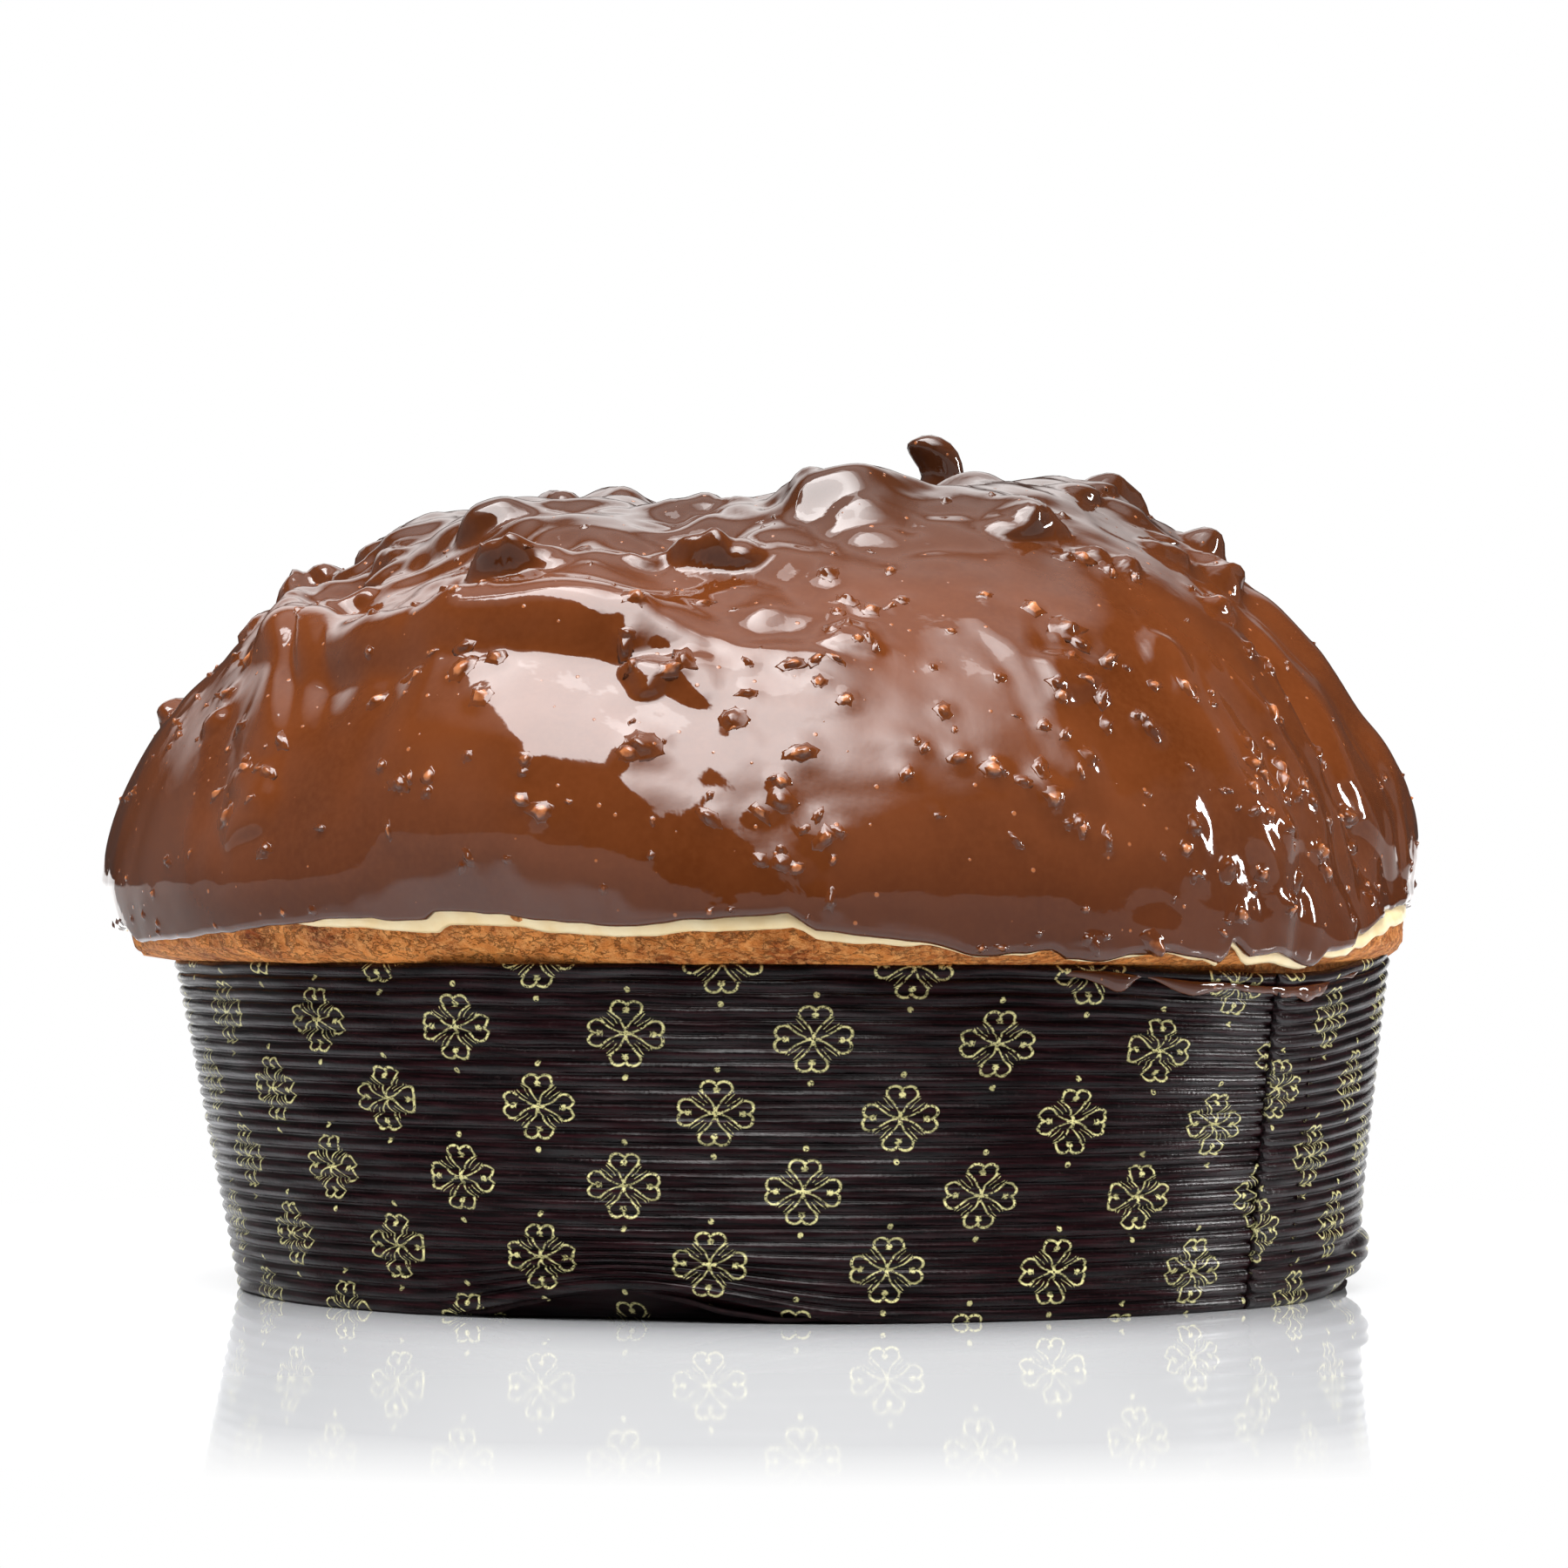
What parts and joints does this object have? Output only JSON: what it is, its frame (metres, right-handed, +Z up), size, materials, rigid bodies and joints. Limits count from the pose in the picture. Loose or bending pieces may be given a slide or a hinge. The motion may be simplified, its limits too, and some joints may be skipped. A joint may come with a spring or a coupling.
{
  "type": "chocolate glazed panettone",
  "caption": "Low round panettone in a ribbed, flared paper baking mould, domed over the rim and glazed with white and milk chocolate and chopped hazelnut.",
  "frame": {"origin": "middle of the mould's flat underside, on the surface that the panettone stands on", "axes": "+Z up through the loaf's crown; -Y towards the front, where the foot of the mould arches a little to the left and the glaze has run onto the paper to the right; +X to the right as seen from the front"},
  "size_m": [0.2275, 0.2283, 0.1446],
  "materials": {
    "mould_paper": "dark brown corrugated greaseproof paper with a small printed gold pattern",
    "crust": "baked golden brown crust, matt",
    "white_chocolate": "smooth cream white chocolate",
    "milk_chocolate": "glossy wet-looking milk chocolate glaze",
    "hazelnut": "toasted chopped hazelnut, partly glazed"
  },
  "bodies": {
    "root": {"mould_base": "mould_paper", "mould_wall": "mould_paper", "loaf": "crust", "white_chocolate_coat": "white_chocolate", "milk_chocolate_coat": "milk_chocolate", "glaze_spill": "milk_chocolate", "hazelnut_01": "hazelnut", "hazelnut_02": "hazelnut", "hazelnut_03": "hazelnut", "hazelnut_04": "hazelnut", "hazelnut_05": "hazelnut", "hazelnut_06": "hazelnut", "hazelnut_07": "hazelnut", "hazelnut_08": "hazelnut", "hazelnut_09": "hazelnut", "hazelnut_10": "hazelnut", "hazelnut_11": "hazelnut", "hazelnut_12": "hazelnut", "hazelnut_13": "hazelnut", "hazelnut_14": "hazelnut", "hazelnut_15": "hazelnut", "hazelnut_16": "hazelnut", "hazelnut_17": "hazelnut", "hazelnut_18": "hazelnut", "hazelnut_19": "hazelnut", "hazelnut_20": "hazelnut", "hazelnut_21": "hazelnut", "hazelnut_22": "hazelnut", "hazelnut_23": "hazelnut", "hazelnut_24": "hazelnut", "hazelnut_25": "hazelnut", "hazelnut_26": "hazelnut", "hazelnut_27": "hazelnut", "hazelnut_28": "hazelnut", "hazelnut_29": "hazelnut", "hazelnut_30": "hazelnut", "hazelnut_31": "hazelnut", "hazelnut_32": "hazelnut", "hazelnut_33": "hazelnut", "hazelnut_34": "hazelnut"}
  },
  "joints": []
}
